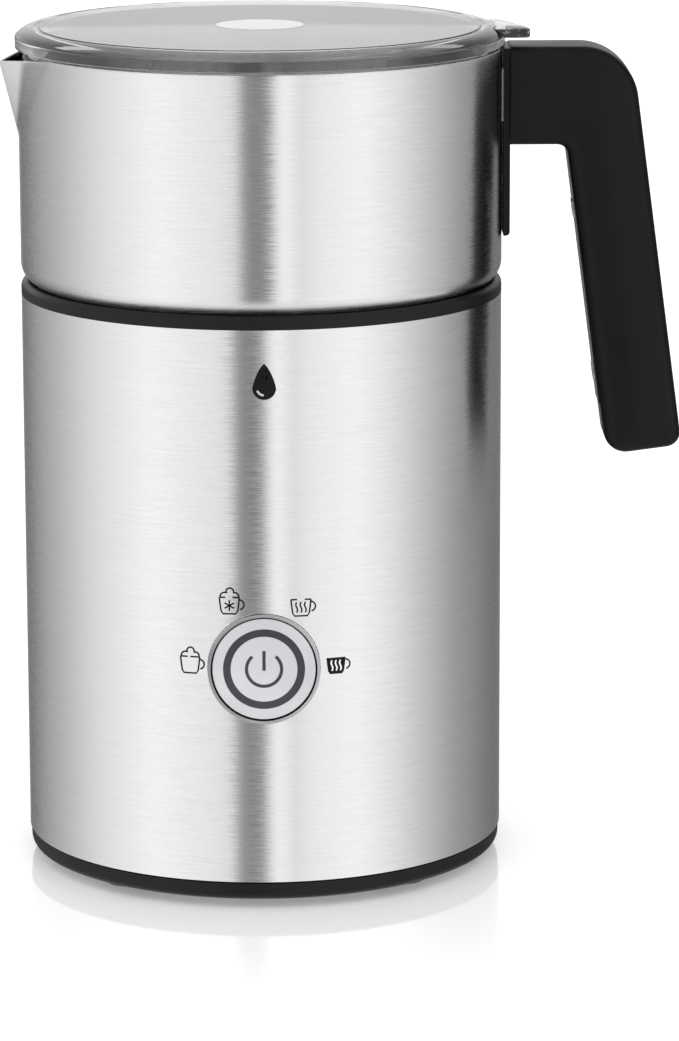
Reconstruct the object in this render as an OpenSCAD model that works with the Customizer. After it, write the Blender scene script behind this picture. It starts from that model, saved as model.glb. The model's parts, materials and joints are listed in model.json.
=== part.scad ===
// Induction milk frother: a round power base, a lift-off steel jug with a spout and a handle,
// a clear lid and a magnetically driven whisk.
// +Z is up, the front (button) faces -Y, the spout -X, the handle +X and the cord gland +Y.
// The origin is on the base's axis, on the surface that the feet stand on. Millimetres.

/* [Base] */
// Outside diameter of the steel sleeve and of the jug
base_d = 130; // [108:1:156]
// Height of the steel sleeve
sleeve_h = 148.2; // [123:0.1:178]
// Thickness of the sleeve's sheet steel
sleeve_wall = 0.8; // [0.6:0.1:1.2]
// Height that the rubber feet lift the base
foot_h = 2.2; // [1.8:0.1:4]
// Diameter of a rubber foot
foot_d = 14; // [10:0.5:18]
// Height of the black band under the sleeve
band_h = 5.3; // [4.4:0.1:7]
// Shadow gap between that band and the sleeve
shadow_gap = 0.5; // [0.3:0.1:0.8]
// Height of the black ring above the sleeve
ring_h = 3.6; // [3:0.1:4.6]
// Width of the ring's rounded outer edge
ring_edge = 1.7; // [1:0.1:2.4]
// Thickness of the deck plate that the jug stands on
deck_t = 2.5; // [2:0.1:3.2]
// Depth of the jug's seat below the ring
seat_depth = 2.2; // [1.8:0.1:2.6]
// Wall of the inner plastic mouldings
moulding_wall = 2; // [1.6:0.1:2.6]

/* [Cord gland] */
// Radius of the hole for the mains cord
gland_bore_r = 3.3; // [2.8:0.1:4]
// Height of the gland's centre
gland_z = 18; // [16:0.5:24]

/* [Button] */
// Height of the button's centre
button_z = 65.7; // [62:0.1:75]
// Outside diameter of the chrome ring
bezel_d = 29.6; // [24.6:0.1:35.6]
// Wall of the chrome ring
bezel_wall = 0.8; // [0.6:0.1:1.2]
// Gap between the chrome ring and the button
button_gap = 0.5; // [0.3:0.1:0.7]
// Travel of the button
button_travel = 0.8; // [0.5:0.1:1]
// Middle diameter of the light ring
light_d = 19.5; // [17:0.5:20]
// Width of the light ring
light_w = 1.9; // [1.2:0.1:2.4]

/* [Jug] */
// Height of the pressed steel jug
jug_h = 63.3; // [53:0.1:76]
// Sheet thickness of the jug
jug_wall = 1; // [0.7:0.1:1.2]
// Outside radius of the jug's bottom edge
jug_corner_r = 5.5; // [4.5:0.1:7]
// Thickness of the induction disc under the jug
disc_t = 1.6; // [1.2:0.1:2]
// How far the spout reaches past the jug's wall
spout_reach = 5.5; // [4.6:0.1:6.6]
// Height of the spout's crease
spout_h = 24; // [20:0.5:29]
// How far the spout's tip lies below the rim
spout_drop = 3.8; // [3:0.1:4.6]
// Half angle of the spout, seen from above
spout_half_angle = 64; // [58:1:65]

/* [Handle] */
// From the jug's wall to the outside of the grip, level with the arm's underside
handle_reach = 37.9; // [34:0.1:45.5]
// Height of the arm
arm_h = 26.4; // [22:0.1:31.6]
// From the arm's underside down to the grip's end
handle_drop = 85; // [70:0.5:98]
// Lean of the grip away from the jug, in degrees
handle_splay = 7.4; // [4:0.1:10]
// Thickness of the grip
grip_t = 20.6; // [17.2:0.1:24.7]
// Width of the handle
handle_w = 20; // [17:0.5:24]
// Wall of the handle's shell
handle_wall = 3; // [2.4:0.1:3.6]

/* [Lid] */
// Height of the lid above the jug's rim
lid_h = 5.4; // [5:0.1:6.5]
// How far the lid's edge stands past the jug's wall
lid_overhang = 0.7; // [0.4:0.1:1.5]
// Thickness of the lid's top
lid_t = 2; // [1.6:0.1:2.6]
// Depth of the lid's skirt below the rim
skirt_depth = 8; // [7:0.5:11]
// Radius of the round inlay in the lid
inlay_r = 11.8; // [9.8:0.1:14.2]
// Thickness of the thumb tab
tab_t = 2.4; // [2:0.1:2.8]
// How far the thumb tab reaches past the jug's wall
tab_reach = 7; // [6:0.1:8.4]

/* [Whisk] */
// Radius of the jug's centre pin
pin_r = 3; // [2.5:0.1:3.6]
// Height of that pin
pin_h = 15.3; // [12.8:0.1:18.4]
// Radius of the whisk's hub
hub_r = 18.5; // [17:0.5:22]
// Thickness of the wire coil round the hub
coil_r = 3.2; // [2.6:0.1:3.6]

/* [Drive] */
// Radius of the motor
motor_r = 14; // [12:0.5:16]
// Length of the motor's can
motor_h = 36; // [30:1:40]
// Radius of the motor's shaft
shaft_r = 1.5; // [1.2:0.1:2]
// Radius of the circle that the drive magnets lie on
magnet_ring_r = 10.5; // [9.5:0.1:11.5]
// Radius of a drive magnet
magnet_r = 4; // [3:0.1:4.2]
// Gap between the sleeve's outside and the induction coil
coil_margin = 22; // [20:0.5:26]
// Side of the square cooling fan
fan_w = 50; // [42:1:56]
// Thickness of the cooling fan
fan_t = 15; // [12:0.5:18]

/* [Hidden] */
$fn = 96;

// Clearances: a fixed joint, a sliding fit, a turning fit, and between parts that only pass
fixed_gap = 0.05;
slip_gap = 0.3;
turn_gap = 0.06;
pass_gap = 0.6;
// Extra length that makes a cut run past the faces it opens
over = 1;
// Gap round the slots that the handle's bracket passes through
bracket_gap = 0.2;

// Levels of the base, from the bottom up
base_r = base_d / 2;
floor_t = 2.5;
floor_z = foot_h + floor_t;
sleeve_z0 = foot_h + band_h;
sleeve_z1 = sleeve_z0 + sleeve_h;
crest_z = sleeve_z1 + ring_h;
seat_z = crest_z - seat_depth;
plate_z = seat_z - deck_t;
pan_top_z = sleeve_z0 + 4.5;
deck_skirt_z = sleeve_z1 - 8.7;

// Radii of the base
sleeve_ri = base_r - sleeve_wall;
inner_r = sleeve_ri - slip_gap;
inner_ri = inner_r - moulding_wall;
disc_r = base_r - 8;
induction_r = base_r - coil_margin;
recess_r = disc_r + pass_gap;

// Cord gland: half of its square neck, its two flanges, and its inner and outer end
gland_half = gland_bore_r + 1.8;
gland_outer_r = gland_half * sqrt(2) + 1;
gland_inner_r = gland_half * sqrt(2) + 0.4;
gland_hole = 2 * gland_half + 0.2;
gland_y0 = inner_ri - 6;
gland_y1 = base_r + 2.6;

// Fasteners: self-tapping screws, all of one thread
screw_r = 1.45;
pilot_r = screw_r + fixed_gap;
pass_hole_r = screw_r + 0.15;
head_r = 3;
head_h = 2.4;
screw_tip = 1;
cross_l = 3.8;
cross_w = 0.8;
cross_depth = 1.2;
boss_r = 4.2;
base_boss_h = 17;
base_screw_r = inner_ri - 4.4;
base_screw_angles = [15, 165, 195, 345];
deck_screw_r = inner_ri - 3.9;
deck_screw_angles = [30, 150, 270];
bracket_screw_r = induction_r + 7;
bracket_angles = [90, 210, 330];
board_screw_r = inner_ri - 4;
board_screw_angles = [60, 180, 300];
foot_ring_r = base_r - 13;
foot_stem_r = 2.5;
foot_barb_r = 3.2;
foot_angles = [225, 315, 45, 135];

// Levels of the induction head that hangs under the deck
coil_top_z = plate_z - 0.8;
coil_t = 3;
carrier_t = 2.4;
carrier_z = coil_top_z - coil_t - carrier_t;
ferrite_t = 3;
bracket_t = 2;
bracket_z = plate_z - 14.6;
carrier_hole_r = magnet_ring_r + magnet_r + 3.5;
rotor_r = magnet_ring_r + magnet_r + 1.5;
ferrite_r0 = carrier_hole_r + 4;
sensor_r = 4;
sensor_x = bracket_screw_r + 1.5;
rotor_top_z = plate_z - 1.4;
rotor_h = 6.2;
magnet_t = 4;

// Motor
can_wall = 1;
endcap_t = 3;
can_z0 = bracket_z - motor_h;
endcap_z = can_z0 - endcap_t;
bush_r = shaft_r + 2.5;
shaft_bush_r = shaft_r + turn_gap;

// Power board and fan
fan_z = floor_z + 3.3;
fan_post = fan_w / 2 - 5;
fan_pin_r = 1.9;
fan_hub_r = 11;
board_z = fan_z + fan_t + 17;
board_t = 1.6;
board_top_z = board_z + board_t;
board_r = inner_ri - 1;
sink_y = board_r - 38.9;

// Button stack: depths are measured from the front of the sleeve
face_y = -base_r;
bezel_r = bezel_d / 2;
cap_r = bezel_r - bezel_wall - button_gap;
bezel_front = 0.6;
bezel_flange_r = bezel_r + 1.8;
bezel_flange_t = 1.4;
bezel_back_y = bezel_flange_t + pass_gap - sqrt(pow(sleeve_ri, 2) - pow(bezel_flange_r, 2));
guide_y = bezel_back_y + fixed_gap;
guide_t = 2;
board_face_y = face_y + 18;
stem_r = 4;
plunger_r = 1.7;
switch_w = 6.2;
switch_t = 3.2;
plunger_tip_y = board_face_y - switch_t - button_travel - 0.2;
cap_front_y = face_y - bezel_front + 0.4;
cap_t = 2.6;

// Jug
jug_z = seat_z + disc_t;
rim_z = jug_z + jug_h;
jug_ri = base_r - jug_wall;
jug_floor_z = jug_z + jug_wall;
spout_tip_z = rim_z - spout_drop;
spout_lean = atan(spout_reach / (spout_h - spout_drop));
spout_foot = 3;
rim_dip = 9;

// Whisk
sleeve_bore_r = pin_r + turn_gap;
bush_wall = 2.3;
whisk_sleeve_r = pin_r + bush_wall;
hub_z = jug_floor_z + 1.1;
hub_h = 6.5;
hub_bevel_h = 1.5;
hub_magnet_t = 3;
collar_r = whisk_sleeve_r + 2.6;
collar_h = pin_h - 1.5;
whisk_coil_r = hub_r + 2;
whisk_coil_z = hub_z + 3.6;

// Lid
lid_top_z = rim_z + lid_h;
lid_r = base_r + lid_overhang;
lid_flat_r = base_r - 5;
lid_rest_z = rim_z + 0.3;
lid_edge_z = lid_rest_z + 2.3;
inlay_depth = 0.5;
tab_top_z = lid_top_z - 0.4;
tab_root = 4;
tab_front_y = -10.3;
tab_back_y = 14.4;
tab_corner_r = 1.6;
tab_curve_r = 75;
tab_turn = 10;
skirt_r = jug_ri - 1.4;
skirt_ri = skirt_r - 2;
skirt_z = rim_z - skirt_depth;

// Handle
rail_x0 = base_r + 0.15;
rail_t = 1.7;
rail_edge = 0.6;
rail_below_arm = 24.5;
body_x = rail_x0 + rail_t + fixed_gap;
handle_top_z = rim_z;
arm_z = handle_top_z - arm_h;
grip_end_z = arm_z - handle_drop;
handle_corner_r = 15.5;
handle_inner_r = 3;
grip_heel_r = 6;
grip_toe_r = 4;
least_r = 1;
bracket_level = (handle_top_z + arm_z) / 2;
bracket_w = 12;
bracket_strip_t = 2.4;
flange_h = 14;
cover_top_z = arm_z - 10;
cover_bottom_z = grip_end_z + 14;
cover_screw_z = [cover_top_z - 8, cover_bottom_z + 8];
cover_sink = 2;

// Points of an arc, for outlines whose round stretches follow a formula
function arc(cx, cy, r, from, to, steps = 8) =
    [for (i = [0:steps]) let (a = from + (to - from) * i / steps) [cx + r * cos(a), cy + r * sin(a)]];

// Outside of the grip at a height, moved inwards by inset
function grip_outer(z, inset = 0) =
    base_r + handle_reach + (arm_z - z) * tan(handle_splay) - inset / cos(handle_splay);
function grip_inner(z, inset = 0) =
    grip_outer(z) - (grip_t - inset) / cos(handle_splay);

// A point at the grip's end: across from its outer face, and along from its end
function grip_end(across, along) = [
    grip_outer(grip_end_z) - across * cos(handle_splay) - along * sin(handle_splay),
    grip_end_z + (grip_t - across) * sin(handle_splay) + along * cos(handle_splay),
];

// Side outline of the handle, moved inwards by inset
function handle_outline(inset = 0) =
    let (
        top = handle_top_z - inset,
        under = arm_z + inset,
        r = handle_corner_r - inset,
        cz = handle_top_z - handle_corner_r,
        cx = grip_outer(cz + handle_corner_r * sin(handle_splay)) - handle_corner_r * cos(handle_splay),
        inner_r = handle_inner_r + inset,
        icz = arm_z - handle_inner_r,
        icx = grip_inner(icz) - handle_inner_r / cos(handle_splay),
        heel_r = max(grip_heel_r - inset, least_r),
        toe_r = max(grip_toe_r - inset, least_r),
        heel = grip_end(grip_t - inset - heel_r, inset + heel_r),
        toe = grip_end(inset + toe_r, inset + toe_r)
    )
    concat(
        [[body_x + inset, top]],
        arc(cx, cz, r, 90, handle_splay),
        arc(toe[0], toe[1], toe_r, handle_splay, handle_splay - 90, 5),
        arc(heel[0], heel[1], heel_r, handle_splay - 90, handle_splay - 180, 6),
        arc(icx, icz, inner_r, handle_splay, 90, 5),
        [[body_x + inset, under]]
    );

// The long opening in the grip's inner face, between two depths below that face
function cover_outline(from, to, gap = 0) = [
    [grip_inner(cover_top_z - gap, from), cover_top_z - gap],
    [grip_inner(cover_top_z - gap, to), cover_top_z - gap],
    [grip_inner(cover_bottom_z + gap, to), cover_bottom_z + gap],
    [grip_inner(cover_bottom_z + gap, from), cover_bottom_z + gap],
];

// A ring with square edges
module ring(ro, ri, h, z = 0) {
    translate([0, 0, z])
    difference() {
        cylinder(r = ro, h = h);
        translate([0, 0, -over]) cylinder(r = ri, h = h + 2 * over);
    }
}

// A box given by its centre in X and Y and its lowest level
module block(x, y, z, size) {
    translate([x - size[0] / 2, y - size[1] / 2, z]) cube(size);
}

// Children repeated on a circle
module around(radius, angles) {
    for (a = angles) {
        rotate([0, 0, a]) translate([radius, 0, 0]) children();
    }
}

// A child drawn along +Z is turned to run along +Y from the plane y
module facing_back(y, z) {
    translate([0, y, z]) rotate([-90, 0, 0]) children();
}

// A side outline in X and Z made as thick as width, centred on Y
module side_extrude(width) {
    translate([0, width / 2, 0]) rotate([90, 0, 0]) linear_extrude(height = width) children();
}

// A child drawn along +Z is turned to run into the grip, square to its inner face
module into_grip(z) {
    translate([grip_inner(z), 0, z]) rotate([0, 90 - handle_splay, 0]) children();
}

// A self-tapping screw that is driven upwards: its head starts at z, its tip is at z + length
module screw_up(z, length) {
    translate([0, 0, z])
    difference() {
        union() {
            cylinder(r = head_r - 0.2, h = head_h);
            translate([0, 0, head_h - fixed_gap]) cylinder(r = screw_r, h = length - head_h - screw_tip);
            translate([0, 0, length - screw_tip - 2 * fixed_gap])
                cylinder(r1 = screw_r, r2 = 0.3, h = screw_tip);
        }
        for (a = [0, 90]) {
            rotate([0, 0, a]) block(0, 0, -over, [cross_l, cross_w, over + cross_depth]);
        }
    }
}

// Casing of the base

module base_sleeve() {
    color("silver")
    difference() {
        ring(base_r, sleeve_ri, sleeve_h, sleeve_z0);
        facing_back(face_y - over, button_z) cylinder(r = bezel_r + 0.1, h = 12);
        block(0, base_r, gland_z - gland_hole / 2, [gland_hole, 16, gland_hole]);
    }
}

module deck_profile() {
    shoulder_z = jug_z - 0.5;
    polygon(concat(
        [[0, plate_z], [inner_ri, plate_z], [inner_ri, deck_skirt_z], [inner_r, deck_skirt_z]],
        [[inner_r, sleeve_z1], [base_r, sleeve_z1]],
        arc(base_r - ring_edge, crest_z - ring_edge, ring_edge, 0, 90, 6),
        [[base_r - ring_edge - 2, shoulder_z], [recess_r, shoulder_z], [recess_r, seat_z], [0, seat_z]]
    ));
}

module top_deck() {
    color([0.08, 0.08, 0.09])
    difference() {
        union() {
            rotate_extrude() deck_profile();
            around(deck_screw_r, deck_screw_angles) {
                translate([0, 0, deck_skirt_z]) cylinder(r = 3.6, h = plate_z - deck_skirt_z + over);
            }
            around(bracket_screw_r, bracket_angles) {
                translate([0, 0, bracket_z + bracket_t + fixed_gap])
                    cylinder(r = 3.5, h = plate_z - bracket_z - bracket_t + over);
            }
        }
        around(deck_screw_r, deck_screw_angles) {
            translate([0, 0, deck_skirt_z - over]) cylinder(r = pilot_r, h = 8);
        }
        around(bracket_screw_r, bracket_angles) {
            translate([0, 0, bracket_z]) cylinder(r = pilot_r, h = 10);
        }
        translate([-sensor_x, 0, plate_z - over]) cylinder(r = sensor_r + fixed_gap, h = deck_t + 2 * over);
    }
}

module chassis() {
    color([0.2, 0.2, 0.21])
    difference() {
        union() {
            ring(inner_r, inner_ri, deck_skirt_z - pan_top_z - 2 * fixed_gap, pan_top_z + fixed_gap);
            around(base_screw_r, base_screw_angles) {
                translate([0, 0, pan_top_z + fixed_gap]) cylinder(r = boss_r, h = base_boss_h);
                translate([0, -1.2, pan_top_z + fixed_gap])
                    cube([inner_r - base_screw_r - 1, 2.4, base_boss_h]);
            }
            around(deck_screw_r, deck_screw_angles) {
                translate([0, 0, deck_skirt_z - 5]) cylinder(r = boss_r + 0.4, h = 5 - fixed_gap);
            }
            around(board_screw_r, board_screw_angles) {
                translate([0, 0, board_z - 8]) cylinder(r = boss_r + 0.4, h = 8 - fixed_gap);
            }
        }
        around(base_screw_r, base_screw_angles) {
            translate([0, 0, pan_top_z - over]) cylinder(r = pilot_r, h = 15);
        }
        around(deck_screw_r, deck_screw_angles) {
            translate([0, 0, deck_skirt_z - 6]) cylinder(r = pass_hole_r, h = 8);
        }
        around(board_screw_r, board_screw_angles) {
            translate([0, 0, board_z - 7]) cylinder(r = pilot_r, h = 8);
        }
        facing_back(face_y, button_z) cylinder(r = bezel_r + 2.2, h = 14);
        block(0, base_r, gland_z - gland_hole / 2, [gland_hole, 24, gland_hole]);
    }
}

module pan_profile() {
    band_r = base_r - 0.4;
    band_top = sleeve_z0 - shadow_gap;
    polygon(concat(
        [[0, foot_h], [base_r - 2.6, foot_h]],
        arc(base_r - 2.6, foot_h + 2.2, 2.2, -60, 0, 5),
        [[band_r, band_top], [inner_r, band_top], [inner_r, pan_top_z], [inner_ri, pan_top_z]],
        [[inner_ri, floor_z], [0, floor_z]]
    ));
}

module bottom_pan() {
    vent_pitch = 6.4;
    color([0.1, 0.1, 0.11])
    difference() {
        union() {
            rotate_extrude() pan_profile();
            around(base_screw_r, base_screw_angles) {
                translate([0, 0, floor_z - over]) cylinder(r = boss_r, h = pan_top_z - floor_z + over);
            }
            for (x = [-fan_post, fan_post], y = [-fan_post, fan_post]) {
                translate([x, y, floor_z - over]) cylinder(r = 3.2, h = fan_z - floor_z + over - fixed_gap);
                translate([x, y, fan_z - over]) cylinder(r = fan_pin_r, h = 5);
            }
        }
        around(base_screw_r, base_screw_angles) {
            translate([0, 0, foot_h - over]) cylinder(r = pass_hole_r, h = 20);
            translate([0, 0, foot_h - over]) cylinder(r = head_r, h = over + 1.2 + head_h);
        }
        around(foot_ring_r, foot_angles) {
            translate([0, 0, foot_h - over]) cylinder(r = foot_stem_r + 0.1, h = floor_t + 2 * over);
        }
        for (i = [-3:3]) {
            half = sqrt(pow(fan_w / 2 - 3, 2) - pow(i * vent_pitch, 2));
            block(i * vent_pitch, 0, foot_h - over, [3, 2 * half, floor_t + 2 * over]);
        }
    }
}

// Feet are numbered from the front left, anticlockwise as seen from above
module foot(number) {
    pad_r = foot_d / 2;
    pad_edge = 0.8;
    color([0.12, 0.12, 0.12])
    around(foot_ring_r, [foot_angles[number - 1]]) {
        rotate_extrude()
        polygon([
            [0, 0], [pad_r - pad_edge, 0], [pad_r, pad_edge], [pad_r, foot_h - fixed_gap],
            [foot_stem_r, foot_h - fixed_gap], [foot_stem_r, floor_z + fixed_gap],
            [foot_barb_r, floor_z + fixed_gap], [foot_barb_r, floor_z + 0.7],
            [foot_stem_r - 0.3, floor_z + 1.9], [0, floor_z + 1.9],
        ]);
    }
}

module base_screws() {
    color("silver")
    around(base_screw_r, base_screw_angles) screw_up(foot_h + 1.1, 21);
}

module deck_screws() {
    color("silver")
    around(deck_screw_r, deck_screw_angles) screw_up(deck_skirt_z - 5 - head_h - fixed_gap, 13);
}

// Gland: a rubber bush with a square neck that can't turn, and a flange on each side of the wall
module cord_gland() {
    length = gland_y1 - gland_y0;
    outer_t = gland_y1 - base_r - 0.1;
    color([0.1, 0.1, 0.1])
    difference() {
        union() {
            block(0, gland_y0 + length / 2, gland_z - gland_half, [2 * gland_half, length, 2 * gland_half]);
            facing_back(gland_y1 - outer_t, gland_z) cylinder(r = gland_outer_r, h = outer_t);
            facing_back(gland_y0 + 2, gland_z) cylinder(r = gland_inner_r, h = 2.6);
        }
        facing_back(gland_y0 - over, gland_z) cylinder(r = gland_bore_r, h = length + 2 * over);
    }
}

// Induction head

module coil_carrier() {
    post_r = 3;
    color([0.75, 0.7, 0.6])
    difference() {
        union() {
            ring(induction_r + 2.6, carrier_hole_r, carrier_t, carrier_z);
            ring(induction_r + 2.6, induction_r + 1, coil_t, carrier_z + carrier_t - fixed_gap);
            around(induction_r - 9, bracket_angles) {
                translate([0, 0, bracket_z + bracket_t + fixed_gap])
                    cylinder(r = post_r, h = carrier_z - bracket_z - bracket_t + over);
            }
        }
        for (a = [0:60:300]) {
            rotate([0, 0, a]) translate([ferrite_r0, -0.8, carrier_z - over])
                cube([induction_r - 5 - ferrite_r0, 1.6, carrier_t + 2 * over]);
        }
    }
}

module induction_coil() {
    turn_w = 2.2;
    coil_ri = carrier_hole_r + 2.4;
    turns = floor((induction_r - coil_ri) / turn_w);
    coil_z = carrier_z + carrier_t + fixed_gap;
    color([0.72, 0.4, 0.2])
    difference() {
        ring(induction_r, coil_ri, coil_t - fixed_gap, coil_z);
        for (i = [1:turns - 1]) {
            ring(coil_ri + i * turn_w + 0.2, coil_ri + i * turn_w, 1, coil_z + coil_t - 0.6);
        }
    }
}

module ferrite_bars() {
    color([0.25, 0.25, 0.27])
    for (a = [0:60:300]) {
        rotate([0, 0, a]) translate([ferrite_r0, -3, carrier_z - ferrite_t - fixed_gap])
            cube([induction_r - ferrite_r0, 6, ferrite_t]);
    }
}

module temperature_sensor() {
    color("silver")
    translate([-sensor_x, 0, 0]) {
        translate([0, 0, plate_z - 7]) cylinder(r = sensor_r, h = seat_z - plate_z + 7 - fixed_gap);
        ring(sensor_r + 1.6, sensor_r - 0.5, 1.5, plate_z - 1.5 - fixed_gap);
    }
}

// Motor and its bracket

module motor_bracket() {
    color("silver")
    difference() {
        union() {
            translate([0, 0, bracket_z]) cylinder(r = motor_r + 4, h = bracket_t);
            for (a = bracket_angles) {
                rotate([0, 0, a]) translate([0, -4.5, bracket_z]) cube([bracket_screw_r, 9, bracket_t]);
            }
            around(bracket_screw_r, bracket_angles) {
                translate([0, 0, bracket_z]) cylinder(r = 4.5, h = bracket_t);
            }
        }
        translate([0, 0, bracket_z - over]) cylinder(r = bush_r + fixed_gap, h = bracket_t + 2 * over);
        around(bracket_screw_r, bracket_angles) {
            translate([0, 0, bracket_z - over]) cylinder(r = pass_hole_r, h = bracket_t + 2 * over);
        }
    }
}

module bracket_screws() {
    color("silver")
    around(bracket_screw_r, bracket_angles) screw_up(bracket_z - head_h - fixed_gap, 11);
}

module motor_can() {
    can_h = motor_h - 2 * fixed_gap;
    color("silver")
    translate([0, 0, can_z0 + fixed_gap])
    difference() {
        cylinder(r = motor_r, h = can_h);
        translate([0, 0, -over]) cylinder(r = motor_r - can_wall, h = can_h - 1.2 + over);
        cylinder(r = bush_r + fixed_gap, h = can_h + over);
    }
}

module motor_endcap() {
    color([0.85, 0.85, 0.82])
    difference() {
        translate([0, 0, endcap_z]) cylinder(r = motor_r, h = endcap_t);
        translate([0, 0, endcap_z - over]) cylinder(r = bush_r + fixed_gap, h = endcap_t + 2 * over);
        for (x = [-9, 9]) {
            block(x, 0, endcap_z - over, [1, 3, endcap_t + 2 * over]);
        }
    }
}

module motor_magnets() {
    magnet_ro = motor_r - can_wall - fixed_gap;
    color([0.3, 0.3, 0.32])
    for (a = [55, 235]) {
        rotate([0, 0, a]) translate([0, 0, can_z0 + 6])
        rotate_extrude(angle = 70) translate([magnet_ro - 2, 0]) square([2, motor_h - 12]);
    }
}

module bush(z, h) {
    color([0.7, 0.55, 0.3])
    ring(bush_r, shaft_bush_r, h, z);
}

module front_bush() {
    bush(bracket_z - 3.4, 3.4 + bracket_t);
}

module rear_bush() {
    bush(endcap_z + 0.2, endcap_t);
}

module motor_shaft() {
    color("silver")
    translate([0, 0, endcap_z - 0.8]) cylinder(r = shaft_r, h = rotor_top_z - endcap_z + 0.2);
}

module armature() {
    core_r = motor_r - can_wall - 3;
    core_h = motor_h - 16;
    color([0.55, 0.35, 0.2])
    difference() {
        union() {
            translate([0, 0, can_z0 + 9]) cylinder(r = core_r, h = core_h);
            translate([0, 0, can_z0 + 2]) cylinder(r = shaft_r + 2, h = 8);
        }
        translate([0, 0, can_z0]) cylinder(r = shaft_r + 0.02, h = motor_h);
        for (a = [0, 120, 240]) {
            rotate([0, 0, a]) block(core_r, 0, can_z0 + 8, [7, 2.4, core_h + 2]);
        }
    }
}

module drive_rotor() {
    hub_top = rotor_top_z - rotor_h;
    color([0.9, 0.9, 0.88])
    difference() {
        translate([0, 0, hub_top]) cylinder(r = rotor_r, h = rotor_h);
        translate([0, 0, hub_top - over]) cylinder(r = shaft_r + 0.02, h = rotor_h + 2 * over);
        around(magnet_ring_r, [0, 90, 180, 270]) {
            translate([0, 0, rotor_top_z - magnet_t - fixed_gap])
                cylinder(r = magnet_r + fixed_gap, h = magnet_t + over);
        }
    }
}

module drive_magnets() {
    color("silver")
    around(magnet_ring_r, [0, 90, 180, 270]) {
        translate([0, 0, rotor_top_z - magnet_t]) cylinder(r = magnet_r, h = magnet_t);
    }
}

// Electronics and cooling

module power_board() {
    color([0.1, 0.4, 0.2])
    difference() {
        translate([0, 0, board_z]) cylinder(r = board_r, h = board_t);
        around(board_screw_r, board_screw_angles) {
            translate([0, 0, board_z - over]) cylinder(r = pass_hole_r, h = board_t + 2 * over);
        }
    }
}

module board_screws() {
    color("silver")
    around(board_screw_r, board_screw_angles) {
        translate([0, 0, board_top_z + head_h + fixed_gap]) rotate([180, 0, 0]) screw_up(0, 10);
    }
}

module bulk_capacitor() {
    color([0.15, 0.15, 0.2])
    translate([board_r - 28.9, -8, board_top_z + fixed_gap])
    difference() {
        cylinder(r = 10, h = 28);
        ring(10 + over, 9.6, 1, 2.5);
    }
}

module filter_capacitor() {
    color([0.8, 0.65, 0.2])
    block(30.9 - board_r, -16, board_top_z + fixed_gap, [26, 10, 18]);
}

module choke() {
    color([0.6, 0.35, 0.15])
    translate([23.9 - board_r, 14, board_top_z + fixed_gap])
    rotate_extrude() translate([6, 0]) square([8, 12]);
}

module heatsink() {
    fin_count = 8;
    fin_t = 1.6;
    sink_w = board_r - 16.9;
    sink_h = 30;
    plate_d = 4;
    color("silver")
    translate([26 - sink_w, sink_y, board_top_z + fixed_gap]) {
        cube([sink_w, plate_d, sink_h]);
        for (i = [0:fin_count - 1]) {
            translate([i * (sink_w - fin_t) / (fin_count - 1), plate_d - 0.1, 0]) cube([fin_t, 12, sink_h]);
        }
    }
}

module power_transistor() {
    case_d = 5;
    case_y = sink_y - case_d / 2 - 2 * fixed_gap;
    color([0.12, 0.12, 0.12]) block(2, case_y, board_top_z + fixed_gap + 6, [15.6, case_d, 20]);
    color("silver")
    for (x = [-5.4, 0, 5.4]) {
        block(2 + x, case_y, board_top_z + fixed_gap, [1.2, 0.6, 6.1]);
    }
}

module terminal_block() {
    middle_y = board_r - 13.9;
    color([0.2, 0.5, 0.3])
    difference() {
        block(4, middle_y, board_top_z + fixed_gap, [24, 9, 12]);
        for (x = [-4, 4, 12]) {
            translate([x, middle_y, board_top_z + 6]) cylinder(r = 2, h = 7);
        }
    }
}

module fan_frame() {
    bore_r = fan_w / 2 - 1.2;
    color([0.15, 0.15, 0.15])
    difference() {
        union() {
            difference() {
                block(0, 0, fan_z, [fan_w, fan_w, fan_t]);
                translate([0, 0, fan_z - over]) cylinder(r = bore_r, h = fan_t + 2 * over);
            }
            translate([0, 0, fan_z]) cylinder(r = fan_hub_r, h = 2.4);
            for (a = [45:90:315]) {
                rotate([0, 0, a]) translate([fan_hub_r - over, -1.2, fan_z])
                    cube([bore_r - fan_hub_r + 2 * over, 2.4, 1.6]);
            }
            translate([0, 0, fan_z + 1]) cylinder(r = 3.5, h = 6);
        }
        translate([0, 0, fan_z + 1]) cylinder(r = shaft_r + turn_gap, h = 8);
        for (x = [-fan_post, fan_post], y = [-fan_post, fan_post]) {
            translate([x, y, fan_z - over]) cylinder(r = fan_pin_r + 0.2, h = fan_t + 2 * over);
        }
    }
}

module fan_rotor() {
    blade_count = 7;
    blade_r = fan_w / 2 - 2.4;
    rotor_z = fan_z + 3.2;
    rotor_t = fan_t - 4;
    color([0.12, 0.12, 0.12]) {
        difference() {
            translate([0, 0, rotor_z]) cylinder(r = fan_hub_r, h = rotor_t);
            translate([0, 0, rotor_z - over]) cylinder(r = fan_hub_r - 1.5, h = rotor_t + over - 1.5);
        }
        translate([0, 0, fan_z + 1.6]) cylinder(r = shaft_r, h = rotor_z + rotor_t - fan_z - 2);
        intersection() {
            for (i = [0:blade_count - 1]) {
                rotate([0, 0, i * 360 / blade_count]) translate([fan_hub_r - 0.6, 0, rotor_z + rotor_t / 2])
                rotate([40, 0, 0]) translate([0, -5.5, -0.5]) cube([blade_r - fan_hub_r + 2, 11, 1]);
            }
            translate([0, 0, rotor_z]) cylinder(r = blade_r, h = rotor_t);
        }
    }
}

// Button

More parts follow.
